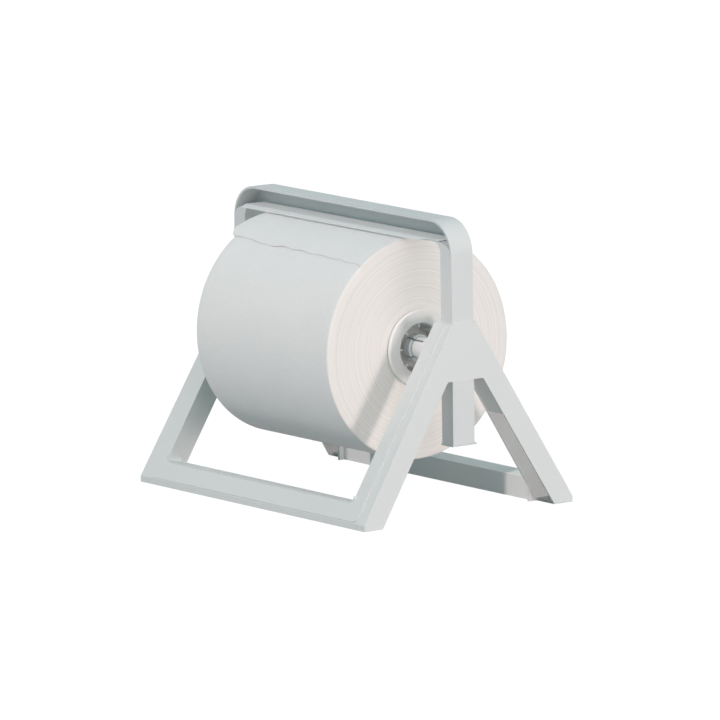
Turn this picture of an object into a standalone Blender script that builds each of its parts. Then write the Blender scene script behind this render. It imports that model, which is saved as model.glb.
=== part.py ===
import math

import bmesh
import bpy
from mathutils import Matrix

# Driving dimensions in metres. +X runs along the roll, -Y is the front.
stand_width = 0.4268
stand_depth = 0.294
stand_height = 0.2196
lip_height = 0.007
apex_depth = 0.033
lean_in = 0.0059
plate = 0.0022
skin = 0.0026
wall = 0.003
gap = 0.0003
overrun = 0.02

head_height = 0.0646
foot_depth = 0.0255
window_top_width = 0.05
window_corner = 0.004
reveal_drop = 0.045

side_return = 0.0159
panel_raise = 0.0012
panel_corner = 0.008
post_width = 0.0205
opening_corner = 0.009
bar_face_height = 0.025
bar_top_height = 0.0283
bar_back_height = 0.0252
bar_depth = 0.03
wall_foot_step = 0.0067
wall_foot_height = 0.018

arch_depth = 0.03
leg_width = 0.0206
leg_reach = 0.075
beam_height = 0.0245
roll_clearance = 0.0011
arch_corner = 0.038
arch_inner_corner = 0.012
arch_wall = 0.0025
shelf_thickness = 0.0015
shoulder_inset = 0.0114
shoulder_drop = 0.0106
foot_lip = 0.002
leg_lip_width = 0.0016
edge_round = 0.0009
passage_clearance = 0.0003

tear_inset = 0.0024
tear_plain = 0.0345
tear_plain_front = 0.02
tear_front = 0.0215
tear_thickness = 0.0012
tear_drop = 0.0029
tooth_pitch = 0.0032
tooth_depth = 0.0018
taper_run = 0.0062

roll_radius = 0.127
roll_width = 0.2515
roll_shift = -0.00325
axis_drop = 0.0386
core_outer = 0.0365
core_inner = 0.0323
sheet_thickness = 0.0004
sheet_skew = 0.0135

flange_radius = 0.044
flange_proud = 0.0049
recess_radius = 0.0285
sleeve_radius = 0.032
sleeve_end = 0.032
plug_floor = 0.0235
bearing_radius = 0.0079
bearing_boss = 0.0112
bearing_rise = 0.0045
rib_length = 0.005
rib_width = 0.0018
rib_count = 8

pin_radius = 0.0135
collar_radius = 0.0155
collar_inset = 0.0016
pin_depth = 0.0136
finger_bore = 0.0098
finger_length = 0.0292
post_radius = 0.0075
post_depth = 0.0329
pin_chamfer = 0.0011
slot_width = 0.0024
slot_angle = 40

screw_radius = 0.002
screw_depth = 0.012
head_radius = 0.0042
screw_head = 0.0026

guide_wall = 0.002
guide_drop = 0.0146
guide_setback = 0.002
guide_clearance = 0.0005
pad_height = 0.0035
pad_length = 0.026

round_steps = 96
small_steps = 48
corner_steps = 8
arch_steps = 12

half_width = stand_width / 2
half_depth = stand_depth / 2
half_apex = apex_depth / 2
half_panel = half_width - side_return
half_opening = half_panel - post_width
window_height = stand_height - head_height
window_foot_width = stand_depth - foot_depth * 2
reveal_height = window_height - reveal_drop
bar_inner = half_depth - bar_depth
wall_foot = bar_inner - wall_foot_step
axis_height = stand_height - axis_drop
inner_wall_face = half_opening + wall
seam = half_panel + gap
slope_run = (half_depth - half_apex) / (stand_height - lip_height)
slope_angle = math.atan(slope_run)
slope_length = math.hypot(half_depth - half_apex, stand_height - lip_height)
lean_run = lean_in / stand_height
window_run = (window_foot_width - window_top_width) / 2 / window_height
half_arch = half_width - lean_in - plate - gap
beam_bottom = axis_height + roll_radius + roll_clearance
arch_height = beam_bottom + beam_height
shelf_top = beam_bottom + shelf_thickness
leg_bottom = window_height - leg_reach
half_leg_depth = arch_depth / 2
leg_inner = half_arch - leg_width
passage_inner = leg_inner - passage_clearance
passage_outer = half_arch + passage_clearance
passage_depth = half_leg_depth + passage_clearance
skin_run = skin / math.cos(slope_angle)
roll_right = roll_width / 2 + roll_shift
roll_left = roll_width / 2 - roll_shift
plug_face = roll_right + flange_proud
collar_start = plug_face - collar_inset
pin_end = plug_face - pin_depth
post_end = plug_face - post_depth
shoulder_start = leg_inner - shoulder_inset
tear_left = leg_inner - tear_inset
tear_right = tear_left - tear_plain
tear_taper_end = tear_left - tear_plain_front
guide_inner = inner_wall_face + gap * 2
guide_outer = half_arch - guide_setback
guide_top = stand_height - guide_drop

for old in list(bpy.data.objects):
    bpy.data.objects.remove(old, do_unlink=True)
scene = bpy.context.scene
scene.unit_settings.system = "METRIC"
scene.unit_settings.scale_length = 1.0

parts = bpy.data.collections.new("countertop_roll_dispenser")
cutters = bpy.data.collections.new("cutters")
scene.collection.children.link(parts)
scene.collection.children.link(cutters)

# World placings of a flat outline: its own x, y and thickness as world axes.
flat_yz = Matrix(((0, 0, 1, 0), (1, 0, 0, 0), (0, 1, 0, 0), (0, 0, 0, 1)))
flat_xz = Matrix(((1, 0, 0, 0), (0, 0, -1, 0), (0, 1, 0, 0), (0, 0, 0, 1)))
flat_xy = Matrix.Identity(4)
turned = Matrix(((-1, 0, 0, 0), (0, -1, 0, 0), (0, 0, 1, 0), (0, 0, 0, 1)))
upright = Matrix.Identity(4)
up_sine = math.sin(slope_angle)
up_cosine = math.cos(slope_angle)
on_slope = Matrix((
    (1, 0, 0, 0),
    (0, up_sine, -up_cosine, -half_depth),
    (0, up_cosine, up_sine, lip_height),
    (0, 0, 0, 1),
))


def material(name, colour, roughness, metallic=0):
    made = bpy.data.materials.new(name)
    made.use_nodes = True
    shader = made.node_tree.nodes["Principled BSDF"]
    shader.inputs["Base Color"].default_value = (*colour, 1)
    shader.inputs["Roughness"].default_value = roughness
    shader.inputs["Metallic"].default_value = metallic
    return made


white_plastic = material("white_plastic", (0.8, 0.81, 0.8), 0.45)
carrier_plastic = material("carrier_plastic", (0.78, 0.79, 0.79), 0.45)
blade_plastic = material("blade_plastic", (0.74, 0.76, 0.77), 0.4)
pin_plastic = material("pin_plastic", (0.72, 0.74, 0.76), 0.35)
plug_plastic = material("plug_plastic", (0.8, 0.8, 0.78), 0.4)
white_paper = material("white_paper", (0.85, 0.85, 0.84), 0.9)
grey_card = material("grey_card", (0.42, 0.36, 0.28), 0.85)
pad_rubber = material("pad_rubber", (0.6, 0.61, 0.61), 0.8)
bright_steel = material("bright_steel", (0.6, 0.6, 0.61), 0.3, 1)


def keep(name, mesh, home=cutters):
    made = bpy.data.objects.new(name, mesh)
    home.objects.link(made)
    if home is cutters:
        made.hide_render = True
        made.display_type = "WIRE"
    return made


def tidied(mesh):
    work = bmesh.new()
    work.from_mesh(mesh)
    bmesh.ops.remove_doubles(work, verts=work.verts, dist=merge_distance)
    bmesh.ops.recalc_face_normals(work, faces=work.faces)
    work.to_mesh(mesh)
    work.free()
    return mesh


merge_distance = 0.00002


def evaluated_mesh(source):
    bpy.context.view_layer.update()
    graph = bpy.context.evaluated_depsgraph_get()
    mesh = bpy.data.meshes.new_from_object(source.evaluated_get(graph))
    bpy.data.objects.remove(source, do_unlink=True)
    return tidied(mesh)


# A solid from a flat outline, from one height to another along its thickness axis.
def slab(name, outline, low, high, placing, turn=upright, home=cutters):
    curve = bpy.data.curves.new(name, "CURVE")
    curve.dimensions = "2D"
    curve.fill_mode = "BOTH"
    curve.extrude = (high - low) / 2
    spline = curve.splines.new("POLY")
    spline.points.add(len(outline) - 1)
    for point, (across, along) in zip(spline.points, outline):
        point.co = (across, along, 0, 1)
    spline.use_cyclic_u = True
    source = bpy.data.objects.new(name, curve)
    cutters.objects.link(source)
    mesh = evaluated_mesh(source)
    mesh.name = name
    middle = Matrix.Translation((0, 0, (low + high) / 2))
    mesh.transform(turn @ placing @ middle)
    return keep(name, mesh, home)


# A turned solid: profile points are (radius, height) and the height runs along +X.
def turning(name, profile, steps, turn=upright, home=cutters, ring=False):
    mesh = bpy.data.meshes.new(name)
    count = len(profile)
    edges = [(index, index + 1) for index in range(count - 1)]
    if ring:
        edges.append((count - 1, 0))
    mesh.from_pydata([(radius, 0, height) for radius, height in profile], edges, [])
    source = bpy.data.objects.new(name, mesh)
    cutters.objects.link(source)
    screw = source.modifiers.new("turn", "SCREW")
    screw.axis = "Z"
    screw.steps = steps
    screw.render_steps = steps
    screw.use_merge_vertices = True
    screw.merge_threshold = merge_distance
    made = evaluated_mesh(source)
    made.name = name
    lay = Matrix(((0, 0, 1, 0), (0, -1, 0, 0), (1, 0, 0, 0), (0, 0, 0, 1)))
    made.transform(turn @ Matrix.Translation((0, 0, axis_height)) @ lay)
    return keep(name, made, home)


def combine(target, other, operation):
    boolean = target.modifiers.new(operation.lower(), "BOOLEAN")
    boolean.operation = operation
    boolean.solver = "EXACT"
    boolean.object = other


def add(target, *others):
    for other in others:
        combine(target, other, "UNION")


def cut(target, *others):
    for other in others:
        combine(target, other, "DIFFERENCE")


def rounded(outline, radii, steps=corner_steps):
    made = []
    count = len(outline)
    for index, (corner, radius) in enumerate(zip(outline, radii)):
        before = outline[index - 1]
        after = outline[(index + 1) % count]
        if not radius:
            made.append(corner)
            continue
        back = (before[0] - corner[0], before[1] - corner[1])
        ahead = (after[0] - corner[0], after[1] - corner[1])
        back_length = math.hypot(*back)
        ahead_length = math.hypot(*ahead)
        back = (back[0] / back_length, back[1] / back_length)
        ahead = (ahead[0] / ahead_length, ahead[1] / ahead_length)
        opening = math.acos(back[0] * ahead[0] + back[1] * ahead[1])
        reach = radius / math.tan(opening / 2)
        far = radius / math.sin(opening / 2)
        middle = (back[0] + ahead[0], back[1] + ahead[1])
        middle_length = math.hypot(*middle)
        centre = (
            corner[0] + middle[0] / middle_length * far,
            corner[1] + middle[1] / middle_length * far,
        )
        start = (corner[0] + back[0] * reach, corner[1] + back[1] * reach)
        end = (corner[0] + ahead[0] * reach, corner[1] + ahead[1] * reach)
        first = math.atan2(start[1] - centre[1], start[0] - centre[0])
        last = math.atan2(end[1] - centre[1], end[0] - centre[0])
        sweep = (last - first + math.pi) % math.tau - math.pi
        for step in range(steps + 1):
            angle = first + sweep * step / steps
            made.append((
                centre[0] + radius * math.cos(angle),
                centre[1] + radius * math.sin(angle),
            ))
    return made


def box_outline(left, right, low, high):
    return [(left, low), (right, low), (right, high), (left, high)]


# The outer end of a side frame leans inwards with height.
def lean_end(solid, turn):
    back = turn.inverted()
    solid.data.transform(back)
    middle = (seam + half_width) / 2
    for vertex in solid.data.vertices:
        if vertex.co.x > middle:
            vertex.co.x -= lean_run * vertex.co.z
    solid.data.transform(turn)


def slope_depth(height):
    return half_depth - slope_run * (height - lip_height)


def window_depth(height):
    return window_foot_width / 2 - window_run * height


def smooth(piece, degrees=32):
    piece.data.shade_smooth()
    piece.data.set_sharp_from_angle(angle=math.radians(degrees))


def finish(piece, look):
    piece.data.materials.clear()
    piece.data.materials.append(look)
    return piece


# Cutters that the side frames and the front and rear frames share.
def passage(name, turn):
    outline = box_outline(passage_inner, passage_outer, -passage_depth, passage_depth)
    return slab(name, outline, reveal_height, stand_height + overrun, flat_xy, turn)


def pin_slot(name, low, high, radius, turn):
    outline = [(radius, stand_height + overrun), (-radius, stand_height + overrun)]
    for step in range(corner_steps * 2 + 1):
        angle = math.pi + math.pi * step / corner_steps / 2
        outline.append((
            radius * math.cos(angle),
            axis_height + radius * math.sin(angle),
        ))
    return slab(name, outline, low, high, flat_yz, turn)


pin_clearance = 0.0004
passages = {}
slots = {}
for hand, turn in (("right", upright), ("left", turned)):
    passages[hand] = passage(hand + "_passage", turn)
    slot_radius = pin_radius + pin_clearance
    slot_low = half_opening - overrun
    slots[hand] = pin_slot(hand + "_pin_slot", slot_low, passage_inner, slot_radius, turn)


# Side frames: the leaning plate, its rims, and the walls round the window's top.
def side_frame(name, turn, hand):
    window_top = window_top_width / 2
    window_foot = window_foot_width / 2
    plate_outline = rounded(
        [
            (-half_depth, 0),
            (-half_depth, lip_height),
            (-half_apex, stand_height),
            (half_apex, stand_height),
            (half_depth, lip_height),
            (half_depth, 0),
            (window_foot, 0),
            (window_top, window_height),
            (-window_top, window_height),
            (-window_foot, 0),
        ],
        [0, 0, 0, 0, 0, 0, 0, window_corner, window_corner, 0],
    )
    frame = slab(name, plate_outline, seam, half_width, flat_yz, turn, parts)
    lean_end(frame, turn)
    inner = half_depth - skin
    top = stand_height + plate
    inner_top = slope_depth(top) - skin_run
    cavity_outline = [
        (-inner, -overrun),
        (-inner, lip_height),
        (-inner_top, top),
        (inner_top, top),
        (inner, lip_height),
        (inner, -overrun),
    ]
    cavity_end = half_width - plate
    cavity = slab(name + "_hollow", cavity_outline, seam - overrun, cavity_end, flat_yz, turn)
    lean_end(cavity, turn)
    cut(frame, cavity)
    # The web stands back from the window's edge by a gap.
    web_low = window_height + gap
    web_top = window_height + skin
    reach = skin_run + window_depth(web_top)
    low_out = window_depth(reveal_height)
    web_side = window_top + gap
    web_foot = low_out + gap
    web_outline = [
        (web_foot, reveal_height),
        (web_side, web_low),
        (-web_side, web_low),
        (-web_foot, reveal_height),
        (-low_out - skin_run, reveal_height),
        (-reach, web_top),
        (reach, web_top),
        (low_out + skin_run, reveal_height),
    ]
    web_end = half_width - plate / 2
    web_start = inner_wall_face + gap
    web = slab(name + "_web", web_outline, web_start, web_end, flat_yz, turn)
    lean_end(web, turn)
    add(frame, web)
    cut(frame, passages[hand])
    return finish(frame, white_plastic)


side_frame("right_side_frame", upright, "right")
side_frame("left_side_frame", turned, "left")


# Front and rear frames: sloped skin with an opening, the bar, two walls and the raised panel.
def cross_frame(name, turn):
    inner = half_depth - skin
    top_inner = half_apex - skin_run
    skin_outline = [
        (-half_depth, 0),
        (-half_depth, lip_height),
        (-half_apex, stand_height),
        (-top_inner, stand_height),
        (-inner, lip_height),
        (-inner, 0),
    ]
    frame = slab(name, skin_outline, -half_panel, half_panel, flat_yz, turn, parts)
    top = stand_height + overrun
    opening_outline = rounded(
        box_outline(-half_opening, half_opening, bar_face_height, top),
        [opening_corner, opening_corner, 0, 0],
    )
    opening = slab(name + "_opening", opening_outline, 0, half_depth + overrun, flat_xz, turn)
    cut(frame, opening)
    face_depth = slope_depth(bar_face_height)
    bar_outline = [
        (-face_depth, bar_face_height - skin),
        (-face_depth, bar_top_height),
        (-bar_inner, bar_back_height),
        (-bar_inner, 0),
        (-bar_inner - skin, 0),
        (-bar_inner - skin, bar_back_height - skin),
        (-face_depth + skin, bar_top_height - skin),
        (-face_depth + skin, bar_face_height - skin),
    ]
    bar_end = half_opening + wall / 2
    bar = slab(name + "_bar", bar_outline, -bar_end, bar_end, flat_yz, turn)
    add(frame, bar)
    mid = skin_run / 2
    wall_outline = [
        (-half_depth + skin / 2, 0),
        (-half_depth + skin / 2, lip_height),
        (-half_apex + mid, stand_height),
        (-gap / 2, stand_height),
        (-gap / 2, window_height),
        (-window_top_width / 2, window_height),
        (-wall_foot, wall_foot_height),
        (-wall_foot, 0),
    ]
    for sign in (-1, 1):
        ends = sorted((sign * half_opening, sign * inner_wall_face))
        side_wall = slab(name + "_wall", wall_outline, *ends, flat_yz, turn)
        add(frame, side_wall)
        arc = [(sign * (half_opening + wall / 2), bar_back_height - skin / 2)]
        for step in range(corner_steps + 1):
            angle = math.pi / 2 * step / corner_steps
            arc.append((
                sign * (half_opening - opening_corner + opening_corner * math.sin(angle)),
                bar_back_height + opening_corner - opening_corner * math.cos(angle),
            ))
        arc.append((sign * (half_opening + wall / 2), bar_back_height + opening_corner))
        arc.insert(1, (arc[1][0], bar_back_height - skin / 2))
        fillet = slab(name + "_corner", arc, bar_inner, face_depth - skin / 2, flat_xz, turn)
        add(frame, fillet)
    face_start = (bar_face_height - lip_height) / up_cosine
    panel_top = slope_length - panel_raise * slope_run
    panel_start = panel_raise
    panel_outline = rounded(
        [
            (-half_panel, panel_start),
            (half_panel, panel_start),
            (half_panel, panel_top),
            (half_opening, panel_top),
            (half_opening, face_start),
            (-half_opening, face_start),
            (-half_opening, panel_top),
            (-half_panel, panel_top),
        ],
        [panel_corner, panel_corner, 0, 0, opening_corner, opening_corner, 0, 0],
    )
    panel = slab(name + "_panel", panel_outline, -skin / 2, panel_raise, on_slope)
    panel.data.transform(turn)
    add(frame, panel)
    cut(frame, passages["right"], passages["left"], slots["right"], slots["left"])
    return finish(frame, white_plastic)


cross_frame("front_frame", upright)
cross_frame("rear_frame", turned)


# Leg guides: three walls round each leg with a seat for the pin's root.
def leg_guide(name, turn):
    near = half_leg_depth + guide_clearance
    far = near + guide_wall
    outline = [
        (guide_inner, -far),
        (guide_outer, -far),
        (guide_outer, -near),
        (passage_inner, -near),
        (passage_inner, near),
        (guide_outer, near),
        (guide_outer, far),
        (guide_inner, far),
    ]
    bottom = window_height + skin + gap
    guide = slab(name, outline, bottom, guide_top, flat_xy, turn, parts)
    seat = pin_radius + gap
    seat_slot = pin_slot(name + "_seat", guide_inner - overrun / 2, leg_inner, seat, turn)
    cut(guide, seat_slot)
    return finish(guide, white_plastic)


leg_guide("right_leg_guide", upright)
leg_guide("left_leg_guide", turned)


# Foot pads, pressed into the corners of the leg channels.
def foot_pad(name, end, side):
    inner = inner_wall_face + gap
    outer = half_width - plate - gap * 2
    near = half_depth - pad_length
    far = half_depth - skin - gap
    rows = sorted((side * near, side * far))
    ends = sorted((end * inner, end * outer))
    pad = slab(name, box_outline(*ends, *rows), 0, pad_height, flat_xy, upright, parts)
    return finish(pad, pad_rubber)


foot_pad("front_left_foot_pad", -1, -1)
foot_pad("front_right_foot_pad", 1, -1)
foot_pad("rear_left_foot_pad", -1, 1)
foot_pad("rear_right_foot_pad", 1, 1)


# The carrier: an arch whose top is a channel open to the front.
arch_outline = rounded(
    [
        (-half_arch, leg_bottom),
        (-leg_inner, leg_bottom),
        (-leg_inner, beam_bottom),
        (leg_inner, beam_bottom),
        (leg_inner, leg_bottom),
        (half_arch, leg_bottom),
        (half_arch, arch_height),
        (-half_arch, arch_height),
    ],
    [0, 0, arch_inner_corner, arch_inner_corner, 0, 0, arch_corner, arch_corner],
    arch_steps,
)
arch = slab("carrier_arch", arch_outline, -half_leg_depth, half_leg_depth, flat_xz, upright, parts)
recess_half = half_arch - arch_wall
recess_corner = arch_corner - arch_wall
# The recess follows the arch's round corners, and its floor falls away in a round shoulder
# where it meets them.
recess_centre = (half_arch - arch_corner, arch_height - arch_corner)
shoulder_foot = shelf_top - shoulder_drop
corner_start = math.asin((shoulder_foot - recess_centre[1]) / recess_corner)
recess_side = []
for step in range(arch_steps + 1):
    angle = corner_start + (math.pi / 2 - corner_start) * step / arch_steps
    recess_side.append((
        recess_centre[0] + recess_corner * math.cos(angle),
        recess_centre[1] + recess_corner * math.sin(angle),
    ))
shoulder_side = []
for step in range(corner_steps - 1):
    angle = math.pi / 2 * (1 - step / corner_steps)
    shoulder_side.append((
        shoulder_start + (recess_side[0][0] - shoulder_start) * math.cos(angle),
        shoulder_foot + shoulder_drop * math.sin(angle),
    ))
recess_side = shoulder_side + recess_side
recess_outline = recess_side + [(-across, up) for across, up in reversed(recess_side)]
recess_back = half_leg_depth - wall
recess = slab("beam_recess", recess_outline, -recess_back, half_leg_depth + overrun, flat_xz)
cut(arch, recess)
pocket_floor = leg_bottom + foot_lip + arch_wall
pocket_top = beam_bottom - arch_corner
foot_lip_side = half_leg_depth + foot_lip
for hand, turn in (("right", upright), ("left", turned)):
    lip_outline = box_outline(
        leg_inner + edge_round, half_arch + leg_lip_width, -foot_lip_side, foot_lip_side
    )
    lip = slab(hand + "_leg_lip", lip_outline, leg_bottom, leg_bottom + foot_lip, flat_xy, turn)
    add(arch, lip)
    pocket_outline = box_outline(
        leg_inner + arch_wall, recess_half, -recess_back, half_leg_depth + overrun
    )
    # The pocket opens towards the rear on both sides.
    if turn is turned:
        pocket_outline = box_outline(
            leg_inner + arch_wall, recess_half, -half_leg_depth - overrun, recess_back
        )
    pocket = slab(hand + "_leg_hollow", pocket_outline, pocket_floor, pocket_top, flat_xy, turn)
    cut(arch, pocket)
    hole_radius = screw_radius + gap
    hole = turning(
        hand + "_screw_hole",
        [
            (0, half_arch - leg_width / 2),
            (hole_radius, half_arch - leg_width / 2),
            (hole_radius, leg_inner - wall),
            (0, leg_inner - wall),
        ],
        small_steps // 2,
        turn,
    )
    cut(arch, hole)
finish(arch, carrier_plastic)

# The tear bar: a strip on the beam's lower flange, bent down in front, with a toothed edge.
bar_back = recess_back - gap
bend = half_leg_depth + gap
strip_low = shelf_top + gap
strip_high = strip_low + tear_thickness
bar_section = [
    (bar_back, strip_low),
    (bar_back, strip_high),
    (-bend, strip_high),
    (-tear_front, strip_high - tear_drop),
    (-tear_front, strip_low - tear_drop),
    (-bend, strip_low),
]
tear_bar = slab("tear_bar", bar_section, -tear_left, tear_left, flat_yz, upright, parts)
edge_line = [(-tear_left - overrun, -tear_front - overrun)]
teeth = int((tear_left + tear_right) / tooth_pitch)
edge_line.append((-tear_left - overrun, -tear_front + tooth_depth))
for tooth in range(teeth):
    root = -tear_left + tooth * tooth_pitch
    edge_line.append((root, -tear_front + tooth_depth))
    edge_line.append((root + tooth_pitch / 2, -tear_front - gap / 2))
edge_line.append((-tear_left + teeth * tooth_pitch, -tear_front + tooth_depth))
edge_line.append((tear_taper_end, -tear_front + taper_run))
edge_line.append((tear_left + overrun, -tear_front + taper_run))
edge_line.append((tear_left + overrun, -tear_front - overrun))
tooth_cutter = slab(
    "tear_teeth", edge_line, strip_low - overrun / 2, strip_high + overrun / 2, flat_xy
)
cut(tear_bar, tooth_cutter)
finish(tear_bar, blade_plastic)


# Axle stubs: a pin of four fingers with a collar, and a post that turns in the plug.
def axle_stub(name, turn):
    root = leg_inner - gap
    bore_end = root - screw_depth - gap * 2
    bore = screw_radius + gap
    finger_root = pin_end + finger_length
    profile = [
        (0, bore_end),
        (bore, bore_end),
        (bore, root),
        (pin_radius, root),
        (pin_radius, collar_start),
        (collar_radius, collar_start - pin_chamfer),
        (collar_radius, pin_end + pin_chamfer),
        (collar_radius - pin_chamfer, pin_end),
        (finger_bore, pin_end),
        (finger_bore, finger_root),
        (post_radius, finger_root),
        (post_radius, post_end + pin_chamfer),
        (post_radius - pin_chamfer, post_end),
        (0, post_end),
    ]
    stub = turning(name, profile, small_steps, turn, parts)
    middle_radius = (post_radius + finger_bore) / 2
    for index in range(4):
        angle = math.radians(slot_angle + 90 * index)
        outline = box_outline(
            -slot_width / 2, slot_width / 2, middle_radius, collar_radius + overrun / 2
        )
        spin = Matrix.Translation((0, 0, axis_height)) @ Matrix.Rotation(angle, 4, "X")
        slit = slab(name + "_slit", outline, pin_end - overrun / 2, finger_root, flat_yz)
        slit.data.transform(turn @ spin)
        cut(stub, slit)
    smooth(stub)
    return finish(stub, pin_plastic)


axle_stub("right_axle_stub", upright)
axle_stub("left_axle_stub", turned)


# The screws that hold the stubs to the legs.
def axle_screw(name, turn):
    seat = leg_inner + arch_wall + gap
    tip = leg_inner - gap - screw_depth
    profile = [
        (0, seat + screw_head),
        (head_radius - pin_chamfer, seat + screw_head),
        (head_radius, seat + screw_head - pin_chamfer),
        (head_radius, seat),
        (screw_radius, seat),
        (screw_radius, tip),
        (0, tip),
    ]
    screw = turning(name, profile, small_steps // 2, turn, parts)
    smooth(screw)
    return finish(screw, bright_steel)


axle_screw("right_axle_screw", upright)
axle_screw("left_axle_screw", turned)


# Roll: the wound paper, its tube, and a flanged plug in each end.
def ring(name, inner, outer, low, high, look):
    outline = [(outer, high), (outer, low), (inner, low), (inner, high)]
    made = turning(name, outline, round_steps, upright, parts, True)
    smooth(made)
    return finish(made, look)


ring("paper_roll", core_outer + gap, roll_radius, -roll_left, roll_right, white_paper)
ring("core_tube", core_inner, core_outer, -roll_left, roll_right, grey_card)


def core_plug(name, turn, end):
    face = end + flange_proud
    back = end + gap
    low = end - sleeve_end
    floor = end - plug_floor + wall
    floor_back = end - plug_floor
    lead = pin_chamfer
    profile = [
        (flange_radius - lead, face),
        (flange_radius, face - lead),
        (flange_radius, back),
        (sleeve_radius, back),
        (sleeve_radius, low),
        (sleeve_radius - wall, low),
        (sleeve_radius - wall, floor_back),
        (bearing_radius, floor_back),
        (bearing_radius, floor + bearing_rise),
        (bearing_boss, floor + bearing_rise),
        (bearing_boss, floor),
        (recess_radius, floor),
        (recess_radius, face - lead),
        (recess_radius + lead, face),
    ]
    plug = turning(name, profile, small_steps * 2, turn, parts, True)
    for index in range(rib_count):
        angle = math.tau * index / rib_count
        outline = box_outline(
            -rib_width / 2, rib_width / 2, recess_radius - rib_length, recess_radius + wall / 2
        )
        spin = Matrix.Translation((0, 0, axis_height)) @ Matrix.Rotation(angle, 4, "X")
        rib = slab(name + "_rib", outline, floor - wall / 2, face - wall, flat_yz)
        rib.data.transform(turn @ spin)
        add(plug, rib)
    smooth(plug)
    return finish(plug, plug_plastic)


core_plug("right_core_plug", upright, roll_right)
core_plug("left_core_plug", turned, roll_left)

# The free end of the paper: a thin shell over the roll's top, torn along its front.
# Each row of torn_edge is a place across the roll, as a share of its width, and an angle.
torn_shares = [
    (0, 27.5), (0.025, 31.5), (0.05, 34.2), (0.11, 33.9), (0.18, 34.3), (0.25, 35.7),
    (0.32, 35.6), (0.36, 36.5), (0.41, 34.8), (0.48, 35.8), (0.55, 35.3), (0.62, 36.2),
    (0.69, 35.7), (0.76, 36.8), (0.83, 36.1), (0.89, 37.4), (0.95, 37), (1, 38.5),
]
sheet_back_angle = -37.5
sheet_rows = 20
sheet_mesh = bpy.data.meshes.new("loose_sheet")
sheet_radius = roll_radius + gap + sheet_thickness / 2
sheet_points = []
sheet_faces = []
columns = len(torn_shares)
# The sheet is pulled a little askew, so that its left edge runs out past the roll's end.
for row in range(sheet_rows + 1):
    advance = row / sheet_rows
    sheet_left = roll_left + sheet_skew * advance
    for share, torn in torn_shares:
        angle = sheet_back_angle + (torn - sheet_back_angle) * advance
        turn_angle = math.radians(angle)
        sheet_points.append((
            -sheet_left + (sheet_left + roll_right) * share,
            -sheet_radius * math.sin(turn_angle),
            axis_height + sheet_radius * math.cos(turn_angle),
        ))
for row in range(sheet_rows):
    for column in range(columns - 1):
        corner = row * columns + column
        sheet_faces.append((corner, corner + columns, corner + columns + 1, corner + 1))
sheet_mesh.from_pydata(sheet_points, [], sheet_faces)
loose_sheet = keep("loose_sheet", sheet_mesh, parts)
solidify = loose_sheet.modifiers.new("thickness", "SOLIDIFY")
solidify.thickness = sheet_thickness
solidify.offset = 0
smooth(loose_sheet)
finish(loose_sheet, white_paper)


# Each body hangs from an empty: the carrier and the roll from one on the roll's axis.
def gather(name, place, names, parent=None):
    holder = bpy.data.objects.new(name, None)
    parts.objects.link(holder)
    holder.location = place
    holder.empty_display_size = edge_round
    if parent:
        holder.parent = parent
        holder.matrix_parent_inverse = Matrix.Translation(parent.location).inverted()
    for member in names:
        child = bpy.data.objects[member]
        child.parent = holder
        child.matrix_parent_inverse = Matrix.Translation(place).inverted()
    return holder


stand = gather("stand", (0, 0, 0), [
    "left_side_frame", "right_side_frame", "front_frame", "rear_frame",
    "left_leg_guide", "right_leg_guide", "front_left_foot_pad", "front_right_foot_pad",
    "rear_left_foot_pad", "rear_right_foot_pad",
])
carrier = gather("carrier", (0, 0, axis_height), [
    "carrier_arch", "tear_bar", "left_axle_stub", "right_axle_stub",
    "left_axle_screw", "right_axle_screw",
])
gather("roll", (0, 0, axis_height), [
    "paper_roll", "core_tube", "left_core_plug", "right_core_plug", "loose_sheet",
])
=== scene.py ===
import math
import random

import bmesh
import bpy
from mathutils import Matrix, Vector, noise


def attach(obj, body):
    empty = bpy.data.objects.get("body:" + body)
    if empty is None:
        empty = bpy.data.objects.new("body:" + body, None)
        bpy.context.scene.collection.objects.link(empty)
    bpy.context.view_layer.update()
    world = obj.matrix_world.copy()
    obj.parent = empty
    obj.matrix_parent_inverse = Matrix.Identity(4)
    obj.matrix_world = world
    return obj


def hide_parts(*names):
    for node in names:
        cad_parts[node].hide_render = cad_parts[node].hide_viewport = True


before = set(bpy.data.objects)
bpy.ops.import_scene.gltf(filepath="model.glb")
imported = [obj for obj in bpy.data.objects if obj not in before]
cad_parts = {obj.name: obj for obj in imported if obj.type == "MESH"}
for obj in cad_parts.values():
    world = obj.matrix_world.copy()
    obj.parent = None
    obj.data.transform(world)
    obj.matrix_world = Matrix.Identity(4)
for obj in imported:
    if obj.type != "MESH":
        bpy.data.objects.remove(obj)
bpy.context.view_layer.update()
print("frame loaded:", len(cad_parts), "nodes")


# The wound paper's own size and place, read from its CAD node.
def measureRoll():
    places = [vertex.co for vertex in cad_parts["paper_roll"].data.vertices]
    (low, high), _, (foot, top) = [(min(values), max(values)) for values in zip(*places)]
    axis = (foot + top) / 2
    bore = min(math.hypot(place.y, place.z - axis) for place in places)
    return {"low": low, "high": high, "axis": axis, "radius": (top - foot) / 2, "bore": bore}


rollSize = measureRoll()


def addObject(name, data):
    made = bpy.data.objects.new(name, data)
    bpy.context.scene.collection.objects.link(made)
    return made


def setMaterial(mesh, material):
    mesh.materials.clear()
    mesh.materials.append(material)


# Camera: a long lens far away, a little above the roll, with its turn in degrees.
camera = {
    "place": (9.482989, -7.083179, 2.117122), "turn": (80.570605, 0.720685, 53.087242),
    "lens": 528.663, "sensor": 36.0, "near": 0.5, "far": 60.0,
}


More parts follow.
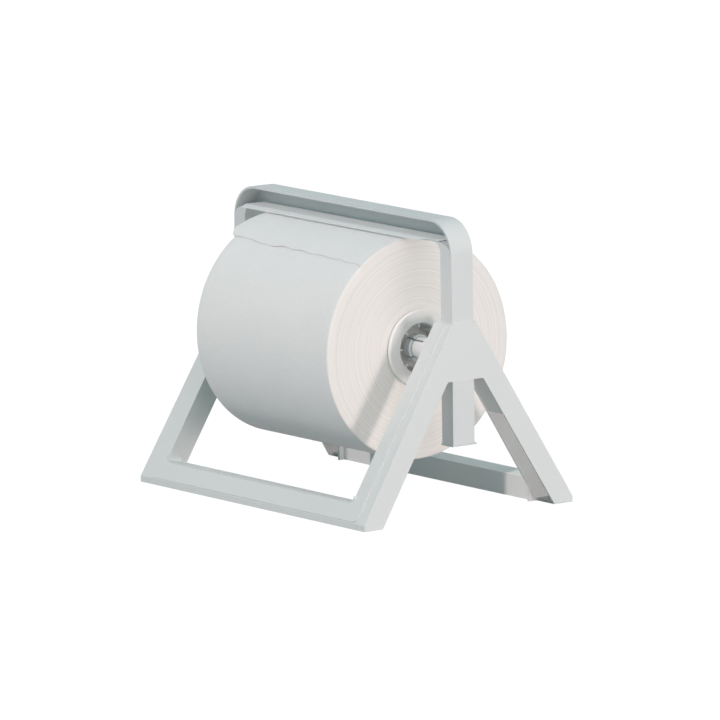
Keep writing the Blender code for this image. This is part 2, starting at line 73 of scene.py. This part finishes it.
def setCamera(values):
    made = addObject("photoCamera", bpy.data.cameras.new("photoCamera"))
    made.location = values["place"]
    made.rotation_euler = [math.radians(turn) for turn in values["turn"]]
    made.data.lens = values["lens"]
    made.data.sensor_width = values["sensor"]
    made.data.clip_start = values["near"]
    made.data.clip_end = values["far"]
    bpy.context.scene.camera = made


setCamera(camera)
bpy.context.scene.view_settings.view_transform = "Standard"


# Materials: patterns read Object coordinates, and their sizes are in metres.
def hexColour(code):
    values = [int(code[i:i + 2], 16) / 255 for i in (0, 2, 4)]
    return tuple(v / 12.92 if v <= 0.04045 else ((v + 0.055) / 1.055) ** 2.4 for v in values) + (1.0,)


def addNode(tree, kind, settings=None, inputs=None, links=None):
    node = tree.nodes.new(kind)
    for name, value in (settings or {}).items():
        setattr(node, name, value)
    for name, value in (inputs or {}).items():
        node.inputs[name].default_value = value
    for name, source in (links or {}).items():
        tree.links.new(source, node.inputs[name])
    return node


def newMaterial(name):
    made = bpy.data.materials.new(name)
    made.use_nodes = True
    made.node_tree.nodes.clear()
    return made, made.node_tree


colourMix = {"data_type": "RGBA"}
colourMultiply = {"data_type": "RGBA", "blend_type": "MULTIPLY"}
multiplyAdd = {"operation": "MULTIPLY_ADD"}

# Moulded polystyrene or ABS: an even off-white with a fine eroded texture that breaks up the shine.
absFinish = {
    "grain": 0.00055, "grainDepth": 0.00005, "mottle": 0.035,
    "cloud": 0.06, "cloudContrast": 0.6, "cloudShift": 0.2,
    "roughness": 0.38, "smoother": 0.06, "rougher": 0.08,
}


def mouldedPlastic(name, code, shade, roughness=absFinish["roughness"]):
    finish = absFinish
    made, tree = newMaterial(name)
    place = addNode(tree, "ShaderNodeTexCoord").outputs["Object"]
    cloud = addNode(tree, "ShaderNodeTexNoise", inputs={"Scale": 1 / finish["cloud"], "Detail": 3.0},
                    links={"Vector": place})
    speck = addNode(tree, "ShaderNodeTexNoise", links={"Vector": place},
                    inputs={"Scale": 1 / finish["grain"], "Detail": 2.0, "Roughness": 0.6})
    blend = addNode(tree, "ShaderNodeMath", {"operation": "MULTIPLY_ADD", "use_clamp": True},
                    {1: finish["cloudContrast"], 2: finish["cloudShift"]}, {0: cloud.outputs["Fac"]})
    even = addNode(tree, "ShaderNodeMix", colourMix, {"A": hexColour(code), "B": hexColour(shade)},
                   {"Factor": blend.outputs[0]})
    dark = addNode(tree, "ShaderNodeMapRange", links={"Value": speck.outputs["Fac"]},
                   inputs={"From Min": 0.3, "From Max": 0.7, "To Min": 1 - finish["mottle"], "To Max": 1.0})
    tint = addNode(tree, "ShaderNodeMix", colourMultiply, {"Factor": 1.0},
                   {"A": even.outputs["Result"], "B": dark.outputs["Result"]})
    gloss = addNode(tree, "ShaderNodeMapRange", links={"Value": speck.outputs["Fac"]}, inputs={
        "To Min": roughness - finish["smoother"],
        "To Max": roughness + finish["rougher"],
    })
    bump = addNode(tree, "ShaderNodeBump", inputs={"Strength": 0.35, "Distance": finish["grainDepth"]},
                   links={"Height": speck.outputs["Fac"]})
    shader = addNode(tree, "ShaderNodeBsdfPrincipled", inputs={"IOR": 1.54}, links={
        "Base Color": tint.outputs["Result"],
        "Roughness": gloss.outputs["Result"],
        "Normal": bump.outputs["Normal"],
    })
    addNode(tree, "ShaderNodeOutputMaterial", links={"Surface": shader.outputs["BSDF"]})
    return made


# Creped wiper paper: matt, with short soft ridges across the web, a faint dimpled emboss and painted shade in
# its dips.
paperFinish = {
    "ridge": 0.0011, "ridgeStretch": 4.0, "dimple": 0.0024, "dimpleShare": 0.5, "cloud": 0.0455,
    "depth": 0.00011, "shadeInDips": 0.055, "roughness": 0.92, "fuzz": 0.15,
}


def crepedPaper(name, code, shade):
    finish = paperFinish
    made, tree = newMaterial(name)
    place = addNode(tree, "ShaderNodeTexCoord").outputs["Object"]
    stretch = addNode(tree, "ShaderNodeMapping", inputs={"Scale": (1 / finish["ridgeStretch"], 1, 1)},
                      links={"Vector": place})
    ridges = addNode(tree, "ShaderNodeTexNoise", links={"Vector": stretch.outputs["Vector"]},
                     inputs={"Scale": 1 / finish["ridge"], "Detail": 2.0, "Roughness": 0.55})
    dimples = addNode(tree, "ShaderNodeTexVoronoi", {"feature": "SMOOTH_F1"},
                      {"Scale": 1 / finish["dimple"], "Smoothness": 0.7}, {"Vector": place})
    cloud = addNode(tree, "ShaderNodeTexNoise", inputs={"Scale": 1 / finish["cloud"], "Detail": 4.0},
                    links={"Vector": place})
    height = addNode(tree, "ShaderNodeMath", multiplyAdd, {1: finish["dimpleShare"]},
                     {0: dimples.outputs["Distance"], 2: ridges.outputs["Fac"]})
    # Painted shade: the low parts of the ridges and dimples are drawn a shade darker, as if shadowed.
    paintedDipShade = addNode(tree, "ShaderNodeMapRange", links={"Value": height.outputs[0]}, inputs={
        "From Min": 0.35, "From Max": 0.95,
        "To Min": 1 - finish["shadeInDips"], "To Max": 1.0,
    })
    even = addNode(tree, "ShaderNodeMix", colourMix, {"A": hexColour(code), "B": hexColour(shade)},
                   {"Factor": cloud.outputs["Fac"]})
    tint = addNode(tree, "ShaderNodeMix", colourMultiply, {"Factor": 1.0},
                   {"A": even.outputs["Result"], "B": paintedDipShade.outputs["Result"]})
    bump = addNode(tree, "ShaderNodeBump", inputs={"Strength": 0.6, "Distance": finish["depth"]},
                   links={"Height": height.outputs[0]})
    shader = addNode(tree, "ShaderNodeBsdfPrincipled",
                     inputs={"Roughness": finish["roughness"], "IOR": 1.5, "Sheen Weight": finish["fuzz"]},
                     links={"Base Color": tint.outputs["Result"], "Normal": bump.outputs["Normal"]})
    addNode(tree, "ShaderNodeOutputMaterial", links={"Surface": shader.outputs["BSDF"]})
    return made


# Cut edges of wound paper: hundreds of plies, some a shade darker, running round the axis.
# A ply is drawn coarser than it is, so that it shows.
woundFinish = {
    "ply": 0.0006, "plyShare": 0.9, "band": 0.0021, "fibre": 0.001111, "fibreShare": 0.3,
    "wander": 0.111, "drift": 0.0022, "depth": 0.0001, "roughness": 0.95,
}


def woundEdges(name, code, shade):
    finish = woundFinish
    made, tree = newMaterial(name)
    place = addNode(tree, "ShaderNodeTexCoord").outputs["Object"]
    centred = addNode(tree, "ShaderNodeMapping", links={"Vector": place},
                      inputs={"Location": (0, 0, -rollSize["axis"]), "Scale": (0, 1, 1)})
    radius = addNode(tree, "ShaderNodeVectorMath", {"operation": "LENGTH"},
                     links={0: centred.outputs["Vector"]})
    wander = addNode(tree, "ShaderNodeTexNoise", inputs={"Scale": 1 / finish["wander"], "Detail": 3.0},
                     links={"Vector": place})
    drift = addNode(tree, "ShaderNodeMath", multiplyAdd, {1: finish["drift"]},
                    {0: wander.outputs["Fac"], 2: radius.outputs["Value"]})
    rings = []
    for size, inputs in (
        (finish["ply"], {"Scale": 1.0, "Detail": 2.0, "Roughness": 0.7}),
        (finish["band"], {"Scale": 1.0, "Detail": 3.0, "Roughness": 0.6}),
    ):
        count = addNode(tree, "ShaderNodeMath", {"operation": "MULTIPLY"}, {1: 1 / size},
                        {0: drift.outputs[0]})
        rings.append(addNode(tree, "ShaderNodeTexNoise", {"noise_dimensions": "1D"}, inputs,
                             {"W": count.outputs[0]}))
    plies, bands = rings
    fibre = addNode(tree, "ShaderNodeTexNoise", inputs={"Scale": 1 / finish["fibre"], "Detail": 2.0},
                    links={"Vector": place})
    both = addNode(tree, "ShaderNodeMath", multiplyAdd, {1: finish["plyShare"]},
                   {0: plies.outputs["Fac"], 2: bands.outputs["Fac"]})
    rough = addNode(tree, "ShaderNodeMath", multiplyAdd, {1: finish["fibreShare"]},
                    {0: fibre.outputs["Fac"], 2: both.outputs[0]})
    ramp = addNode(tree, "ShaderNodeMapRange", inputs={"From Min": 0.75, "From Max": 1.45},
                   links={"Value": rough.outputs[0]})
    tint = addNode(tree, "ShaderNodeMix", colourMix, {"A": hexColour(shade), "B": hexColour(code)},
                   {"Factor": ramp.outputs["Result"]})
    bump = addNode(tree, "ShaderNodeBump", inputs={"Strength": 0.55, "Distance": finish["depth"]},
                   links={"Height": rough.outputs[0]})
    shader = addNode(tree, "ShaderNodeBsdfPrincipled", inputs={"Roughness": finish["roughness"], "IOR": 1.5},
                     links={"Base Color": tint.outputs["Result"], "Normal": bump.outputs["Normal"]})
    addNode(tree, "ShaderNodeOutputMaterial", links={"Surface": shader.outputs["BSDF"]})
    return made


# Zinc-plated steel: bright, with a faint brushed spread in the highlight.
steelFinish = {"brushing": 0.000714, "smoothest": 0.28, "roughest": 0.42}


def platedSteel(name, code):
    finish = steelFinish
    made, tree = newMaterial(name)
    place = addNode(tree, "ShaderNodeTexCoord").outputs["Object"]
    mist = addNode(tree, "ShaderNodeTexNoise", inputs={"Scale": 1 / finish["brushing"], "Detail": 2.0},
                   links={"Vector": place})
    gloss = addNode(tree, "ShaderNodeMapRange", links={"Value": mist.outputs["Fac"]},
                    inputs={"To Min": finish["smoothest"], "To Max": finish["roughest"]})
    shader = addNode(tree, "ShaderNodeBsdfPrincipled", links={"Roughness": gloss.outputs["Result"]},
                     inputs={"Base Color": hexColour(code), "Metallic": 1.0})
    addNode(tree, "ShaderNodeOutputMaterial", links={"Surface": shader.outputs["BSDF"]})
    return made


# Moulded soft rubber and wound brown card: both are dull, with a dusty grain and no highlight.
rubberFinish = {"grain": 0.0006, "roughness": 0.8}
cardFinish = {"grain": 0.0008, "roughness": 0.9}
dustRelief = 0.125  # depth of the grain as a share of its size


def dullSurface(name, code, shade, finish):
    made, tree = newMaterial(name)
    place = addNode(tree, "ShaderNodeTexCoord").outputs["Object"]
    dust = addNode(tree, "ShaderNodeTexNoise", inputs={"Scale": 1 / finish["grain"], "Detail": 4.0},
                   links={"Vector": place})
    tint = addNode(tree, "ShaderNodeMix", colourMix, {"A": hexColour(code), "B": hexColour(shade)},
                   {"Factor": dust.outputs["Fac"]})
    bump = addNode(tree, "ShaderNodeBump", inputs={"Strength": 0.4, "Distance": finish["grain"] * dustRelief},
                   links={"Height": dust.outputs["Fac"]})
    shader = addNode(tree, "ShaderNodeBsdfPrincipled", inputs={"Roughness": finish["roughness"]},
                     links={"Base Color": tint.outputs["Result"], "Normal": bump.outputs["Normal"]})
    addNode(tree, "ShaderNodeOutputMaterial", links={"Surface": shader.outputs["BSDF"]})
    return made


standPlastic = mouldedPlastic("standPlastic", "EAEEEC", "E4E9E8")
carrierPlastic = mouldedPlastic("carrierPlastic", "E6EAE9", "DFE4E4")
bladePlastic = mouldedPlastic("bladePlastic", "F2F5F5", "EAEFF0", roughness=0.34)
pinPlastic = mouldedPlastic("pinPlastic", "F4F6F6", "ECEFF0", roughness=0.3)
plugPlastic = mouldedPlastic("plugPlastic", "F4F4F1", "ECEDEA", roughness=0.36)
wiperPaper = crepedPaper("wiperPaper", "FBFBF9", "F5F6F5")
woundPaper = woundEdges("woundPaper", "FBFAF6", "E7E5DF")
coreCard = dullSurface("coreCard", "B9A88C", "A8977C", cardFinish)
padRubber = dullSurface("padRubber", "C4C6C6", "B9BCBC", rubberFinish)
screwSteel = platedSteel("screwSteel", "C9CACC")
print("materials made")

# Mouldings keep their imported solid's shape and get rounded edges.
# The merge distance is in metres, the flat angle in radians and the others in degrees.
moulding = {"merge": 0.000005, "flatAngle": 0.002, "edgeAngle": 28, "sharpAngle": 35, "faceWeight": 100}


def mergedCopy(nodeName, name):
    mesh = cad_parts[nodeName].data.copy()
    mesh.name = name
    work = bmesh.new()
    work.from_mesh(mesh)
    bmesh.ops.remove_doubles(work, verts=work.verts, dist=moulding["merge"])
    bmesh.ops.dissolve_limit(work, angle_limit=moulding["flatAngle"], verts=work.verts, edges=work.edges,
                             delimit=set())
    work.to_mesh(mesh)
    work.free()
    return addObject(name, mesh)


def freeze(piece):
    graph = bpy.context.evaluated_depsgraph_get()
    mesh = bpy.data.meshes.new_from_object(piece.evaluated_get(graph))
    piece.modifiers.clear()
    piece.data = mesh


# An outside edge is bold where both its faces are wider than broad, and every other edge is thin.
def weighEdges(mesh, edges):
    work = bmesh.new()
    work.from_mesh(mesh)
    weights = work.edges.layers.float.new("bevel_weight_edge")
    for edge in work.edges:
        if len(edge.link_faces) != 2 or edge.calc_face_angle(0) < math.radians(moulding["edgeAngle"]):
            continue
        width = min(face.calc_area() / edge.calc_length() for face in edge.link_faces)
        isBold = edge.is_convex and width > edges["broad"]
        edge[weights] = 1.0 if isBold else edges["thin"] / edges["bold"]
    work.to_mesh(mesh)
    work.free()


def camelName(nodeName):
    first, *others = nodeName.split("_")
    return first + "".join(word.capitalize() for word in others)


def mouldedPiece(nodeName, material, body, edges):
    made = mergedCopy(nodeName, camelName(nodeName))
    weighEdges(made.data, edges)
    bevel = made.modifiers.new("mouldedEdges", "BEVEL")
    bevel.width = edges["bold"]
    bevel.segments = edges["segments"]
    bevel.limit_method = "WEIGHT"
    bevel.use_clamp_overlap = True
    bevel.harden_normals = False
    bevel.miter_outer = "MITER_ARC"
    freeze(made)
    setMaterial(made.data, material)
    made.data.shade_smooth()
    made.data.set_sharp_from_angle(angle=math.radians(moulding["sharpAngle"]))
    # Large flat faces keep their own normal, so that only the rounded edges bend the light.
    even = made.modifiers.new("evenFaces", "WEIGHTED_NORMAL")
    even.keep_sharp = True
    even.weight = moulding["faceWeight"]
    freeze(made)
    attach(made, body)
    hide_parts(nodeName)


# Stand
sideFrameEdges = {"thin": 0.00055, "bold": 0.0014, "broad": 0.005, "segments": 2}
endFrameEdges = {"thin": 0.00055, "bold": 0.0011, "broad": 0.0034, "segments": 2}
legGuideEdges = {"thin": 0.0004, "bold": 0.0004, "broad": 0.005, "segments": 2}
footPadEdges = {"thin": 0.0006, "bold": 0.0006, "broad": 0.005, "segments": 2}
for side in ("left", "right"):
    mouldedPiece(side + "_side_frame", standPlastic, "stand", sideFrameEdges)
    mouldedPiece(side + "_leg_guide", standPlastic, "stand", legGuideEdges)
for end in ("front", "rear"):
    mouldedPiece(end + "_frame", standPlastic, "stand", endFrameEdges)
    for side in ("left", "right"):
        mouldedPiece(end + "_" + side + "_foot_pad", padRubber, "stand", footPadEdges)
print("stand made")

# Carrier, with the roll's plugs and core
archEdges = {"thin": 0.0007, "bold": 0.0013, "broad": 0.005, "segments": 2}
tearBarEdges = {"thin": 0.00018, "bold": 0.00018, "broad": 0.005, "segments": 1}
axleStubEdges = {"thin": 0.0004, "bold": 0.0004, "broad": 0.005, "segments": 2}
corePlugEdges = {"thin": 0.0003, "bold": 0.0003, "broad": 0.005, "segments": 2}
mouldedPiece("carrier_arch", carrierPlastic, "carrier", archEdges)
mouldedPiece("tear_bar", bladePlastic, "carrier", tearBarEdges)
for side in ("left", "right"):
    mouldedPiece(side + "_axle_stub", pinPlastic, "carrier", axleStubEdges)
    mouldedPiece(side + "_core_plug", plugPlastic, "roll", corePlugEdges)
    setMaterial(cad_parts[side + "_axle_screw"].data, screwSteel)
setMaterial(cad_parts["core_tube"].data, coreCard)
print("carrier made")

# Wound roll: its ends are uneven because the plies do not line up, and they fall off a little at the rim.
roll = {
    "around": 240, "endRows": 64, "bodyRows": 40, "seed": 7, "sharpAngle": 60,
    "unevenness": 0.00055, "firmShare": 0.35, "looseDepth": 0.012, "fall": 0.0014, "fallDepth": 0.009,
    "rim": 0.0008, "rimInward": 0.0002, "rimBack": 0.0004, "rimEnd": 0.00112,
    "waver": 0.0002, "rimWaver": 0.0001, "waverAlong": 4, "waverAround": 2.2, "waverOutward": 30,
}


# From the bore outwards, each point gives its distance from the axis and how far it stands back.
def endProfile(values):
    pick = random.Random(values["seed"])
    bore, radius = rollSize["bore"], rollSize["radius"]
    profile = []
    for row in range(values["endRows"]):
        share = row / values["endRows"]
        reach = bore + (radius - bore) * share
        loose = max(0.0, 1 - (radius - reach) / values["looseDepth"])
        slack = max(0.0, 1 - (radius - reach) / values["fallDepth"])
        uneven = abs(pick.uniform(-1, 1)) * values["unevenness"] * (values["firmShare"] + loose)
        profile.append((reach, uneven + slack * slack * values["fall"]))
    return profile


def woundRoll(values):
    low, high, axis, radius = (rollSize[name] for name in ("low", "high", "axis", "radius"))
    profile = endProfile(values)
    mesh = bmesh.new()
    rings = []

    def ring(reach, x, waver):
        made = []
        for index in range(values["around"]):
            angle = math.tau * index / values["around"]
            across, upright = math.sin(angle), math.cos(angle)
            spot = Vector((
                x * values["waverAlong"],
                upright * values["waverAround"],
                across * values["waverAround"] + reach * values["waverOutward"],
            ))
            drift = noise.noise(spot) * waver
            made.append(mesh.verts.new((x + drift, reach * across, axis + reach * upright)))
        rings.append(made)

    waver, rimWaver = values["waver"], values["rimWaver"]
    rimReach, rimBack = radius - values["rimInward"], values["fall"] + values["rimBack"]
    inset = values["fall"] + values["rimEnd"]
    for reach, back in profile:
        ring(reach, high - back - waver, waver)
    ring(rimReach, high - rimBack, rimWaver)
    for row in range(values["bodyRows"] + 1):
        share = row / values["bodyRows"]
        ring(radius, high - inset + (low - high + inset * 2) * share, 0)
    ring(rimReach, low + rimBack, rimWaver)
    for reach, back in reversed(profile):
        ring(reach, low + back + waver, waver)
    rings.append(rings[0])
    for first, second in zip(rings, rings[1:]):
        for index in range(values["around"]):
            after = (index + 1) % values["around"]
            mesh.faces.new((first[index], first[after], second[after], second[index]))
    mesh.normal_update()
    bmesh.ops.recalc_face_normals(mesh, faces=mesh.faces)
    # Faces inside the rim are cut plies, the second material.
    for face in mesh.faces:
        centre = face.calc_center_median()
        isCut = math.hypot(centre.y, centre.z - axis) < radius - values["rim"]
        face.material_index = 1 if isCut else 0
        face.smooth = True
    data = bpy.data.meshes.new("paperRoll")
    mesh.to_mesh(data)
    mesh.free()
    data.materials.append(wiperPaper)
    data.materials.append(woundPaper)
    data.set_sharp_from_angle(angle=math.radians(values["sharpAngle"]))
    return addObject("paperRoll", data)


paperRoll = woundRoll(roll)
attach(paperRoll, "roll")
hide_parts("paper_roll")
print("roll made")

# Free end: a thin sheet over the top, torn along the front, lifted a little at the tear.
# Angles are degrees from the roll's top towards the front, and shares run from the left edge to the right.
sheet = {
    "columns": 150, "rows": 60, "thickness": 0.00025, "flat": (0.258, 0.162), "area": 0.0414,
    "inset": 0.0002, "skew": 0.0135, "gap": 0.00035, "back": -37.0,
    "torn": [
        (0, 27.5), (0.025, 31.5), (0.05, 34.2), (0.11, 33.9), (0.18, 34.3), (0.25, 35.7), (0.32, 35.6),
        (0.36, 36.5), (0.41, 34.8), (0.48, 35.8), (0.55, 35.3), (0.62, 36.2), (0.69, 35.7), (0.76, 36.8),
        (0.83, 36.1), (0.89, 37.4), (0.95, 37), (1, 38.5),
    ],
    "fray": [
        {"across": 60, "depth": 0.5, "seed": (0, 3)},
        {"across": 160, "depth": 0.25, "seed": (4, 1)},
    ],
    "curl": {"height": 0.0013, "depth": 6, "least": 0.2, "most": 1.3, "shift": 0.15,
             "across": 34, "down": 0.05, "seed": 2.0},
    "crumple": {"height": 0.00045, "start": 14, "ramp": 22, "across": 70, "down": 0.3, "seed": 5.0},
    "crease": {"height": 0.0004, "ends": [(0.03, 22.0), (0.27, 27.5)], "width": 0.6},
}


def along(table, share):
    for (low, first), (high, second) in zip(table, table[1:]):
        if share <= high:
            return first + (second - first) * (share - low) / (high - low)
    return table[-1][1]


def tornAngle(values, share):
    ragged = 0.0
    for fray in values["fray"]:
        ragged += noise.noise(Vector((share * fray["across"], *fray["seed"]))) * fray["depth"]
    return along(values["torn"], share) + ragged


# The curl is strongest at the tear, where the angle is the end's.
def curlLift(curl, x, angle, end):
    near = max(0.0, 1 - (end - angle) / curl["depth"])
    wave = noise.noise(Vector((x * curl["across"], angle * curl["down"], curl["seed"])))
    return (curl["least"] + curl["most"] * max(0.0, wave + curl["shift"])) * curl["height"] * near ** 2


def crumpleLift(crumple, x, angle):
    front = max(0.0, (angle - crumple["start"]) / crumple["ramp"])
    bump = abs(noise.noise(Vector((x * crumple["across"], angle * crumple["down"], crumple["seed"]))))
    return bump * crumple["height"] * front


def creaseLift(crease, share, angle):
    (firstShare, firstAngle), (lastShare, lastAngle) = crease["ends"]
    part = (share - firstShare) / (lastShare - firstShare)
    if not 0 < part < 1:
        return 0.0
    off = (angle - firstAngle - (lastAngle - firstAngle) * part) / crease["width"]
    return crease["height"] * math.exp(-off * off) * math.sin(math.pi * part)


# One point of the sheet: its share of the width and its share of the length, from the back to the tear.
def sheetPoint(values, share, length):
    low, high = rollSize["low"], rollSize["high"] - values["inset"]
    end = tornAngle(values, share)
    angle = values["back"] + (end - values["back"]) * length
    left = low - values["skew"] * length
    x = left + (high - left) * share
    lift = curlLift(values["curl"], x, angle, end) + crumpleLift(values["crumple"], x, angle)
    lift += creaseLift(values["crease"], share, angle)
    reach = rollSize["radius"] + values["gap"] + lift
    turn = math.radians(angle)
    return x, -reach * math.sin(turn), rollSize["axis"] + reach * math.cos(turn)


def freeSheet(values):
    columns, rows = values["columns"], values["rows"]
    work = bmesh.new()
    grid = []
    for row in range(rows + 1):
        grid.append([work.verts.new(sheetPoint(values, column / columns, row / rows))
                     for column in range(columns + 1)])
    for upper, lower in zip(grid, grid[1:]):
        for column in range(columns):
            work.faces.new((upper[column], lower[column], lower[column + 1], upper[column + 1]))
    work.normal_update()
    bmesh.ops.recalc_face_normals(work, faces=work.faces)
    work.faces.ensure_lookup_table()
    if work.faces[0].normal.z < 0:
        bmesh.ops.reverse_faces(work, faces=work.faces)
    data = bpy.data.meshes.new("looseSheet")
    work.to_mesh(data)
    work.free()
    made = addObject("looseSheet", data)
    skin = made.modifiers.new("paperThickness", "SOLIDIFY")
    skin.thickness = values["thickness"]
    skin.offset = 0
    freeze(made)
    setMaterial(made.data, wiperPaper)
    made.data.shade_smooth()
    return made


looseSheet = freeSheet(sheet)
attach(looseSheet, "roll")
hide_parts("loose_sheet")
print("loose sheet made")

# Floor: the camera sees it white with the object's soft shadow, and it gives the object only a little light.
# Rays off a glossy surface see only the glossy share of the white.
stage = {"size": 14.0, "shadow": "6E7070", "glow": 0.95, "bounce": "B2B6B7", "glossy": 0.3}
white = (1, 1, 1, 1)


def backgroundRays(tree):
    rays = addNode(tree, "ShaderNodeLightPath")
    sheen = addNode(tree, "ShaderNodeMath", {"operation": "MULTIPLY"}, {1: stage["glossy"]},
                    {0: rays.outputs["Is Glossy Ray"]})
    seen = addNode(tree, "ShaderNodeMath", {"operation": "MAXIMUM"},
                   links={0: rays.outputs["Is Camera Ray"], 1: sheen.outputs[0]})
    passed = addNode(tree, "ShaderNodeMath", {"operation": "MAXIMUM"},
                     links={0: seen.outputs[0], 1: rays.outputs["Is Transmission Ray"]})
    return passed.outputs[0]


def paleFloor(values):
    size = values["size"]
    data = bpy.data.meshes.new("floor")
    corners = [(-size, -size, 0), (size, -size, 0), (size, size, 0), (-size, size, 0)]
    data.from_pydata(corners, [], [(0, 1, 2, 3)])
    material, tree = newMaterial("paleFloor")
    matt = addNode(tree, "ShaderNodeBsdfDiffuse", inputs={"Color": hexColour(values["bounce"])})
    shaded = addNode(tree, "ShaderNodeBsdfDiffuse", inputs={"Color": hexColour(values["shadow"])})
    glow = addNode(tree, "ShaderNodeEmission", inputs={"Color": white, "Strength": values["glow"]})
    bright = addNode(tree, "ShaderNodeAddShader", links={0: shaded.outputs[0], 1: glow.outputs[0]})
    mix = addNode(tree, "ShaderNodeMixShader",
                  links={"Fac": backgroundRays(tree), 1: matt.outputs[0], 2: bright.outputs[0]})
    addNode(tree, "ShaderNodeOutputMaterial", links={"Surface": mix.outputs[0]})
    setMaterial(data, material)
    made = addObject("floor", data)


paleFloor(stage)

# Lamps: suns, with their spreads in degrees, and a pale blue sky that fills the shadows.
# The photograph shows the stand's shadow on the roll's end and none of the arch, so the arch has its own key.
# That shadow is pale and has a firm edge, so the fill passes through the stand and only the key is held back.
# The rear lamp reaches only the sides that the photograph hides, and makes no reflections.
sky = {"strength": 0.33, "colour": (0.58, 0.95, 1.0, 1)}
warmWhite = (1.0, 0.835, 0.825)
keyLamp = {"aim": (-1.0, -0.08, -0.06), "strength": 1.02, "spread": 9, "colour": warmWhite}
lamps = {
    "key": keyLamp,
    "archKey": keyLamp,
    "fill": {"aim": (-0.95, 0.0, -0.25), "strength": 1.25, "spread": 60, "colour": warmWhite},
    "front": {"aim": (0.02, 0.77, -0.64), "strength": 1.46, "spread": 2, "colour": warmWhite},
    "rear": {"aim": (0.68, -0.73, -0.03), "strength": 1.8, "spread": 40, "colour": (1.0, 0.82, 0.81)},
}
fillPasses = ["rightSideFrame", "rightLegGuide", "frontFrame", "rearFrame"]
lampLinks = {
    "key": [
        ("blocker_collection", "EXCLUDE", ["carrierArch"]),
        ("receiver_collection", "EXCLUDE", ["carrierArch"]),
    ],
    "archKey": [("receiver_collection", "INCLUDE", ["carrierArch"])],
    "fill": [("blocker_collection", "EXCLUDE", fillPasses)],
}


def linkLamp(lamp, field, state, pieces):
    linked = bpy.data.collections.new(lamp.name + field)
    for piece in pieces:
        linked.objects.link(bpy.data.objects[piece])
    for entry in linked.collection_objects:
        entry.light_linking.link_state = state
    setattr(lamp.light_linking, field, linked)


def setLamp(name, values):
    light = bpy.data.lights.new(name, "SUN")
    light.energy = values["strength"]
    light.color = values["colour"]
    light.angle = math.radians(values["spread"])
    made = addObject(name, light)
    made.rotation_euler = Vector(values["aim"]).to_track_quat("-Z", "Y").to_euler()
    made.visible_glossy = name != "rear"
    for field, state, pieces in lampLinks.get(name, []):
        linkLamp(made, field, state, pieces)


def setSky(values):
    world = bpy.data.worlds.new("studio")
    bpy.context.scene.world = world
    world.use_nodes = True
    tree = world.node_tree
    tree.nodes.clear()
    soft = addNode(tree, "ShaderNodeBackground",
                   inputs={"Color": values["colour"], "Strength": values["strength"]})
    plain = addNode(tree, "ShaderNodeBackground", inputs={"Color": white, "Strength": 1.0})
    mix = addNode(tree, "ShaderNodeMixShader",
                  links={"Fac": backgroundRays(tree), 1: soft.outputs[0], 2: plain.outputs[0]})
    addNode(tree, "ShaderNodeOutputWorld", links={"Surface": mix.outputs[0]})


setSky(sky)
for name, values in lamps.items():
    setLamp(name, values)
print("lights set")
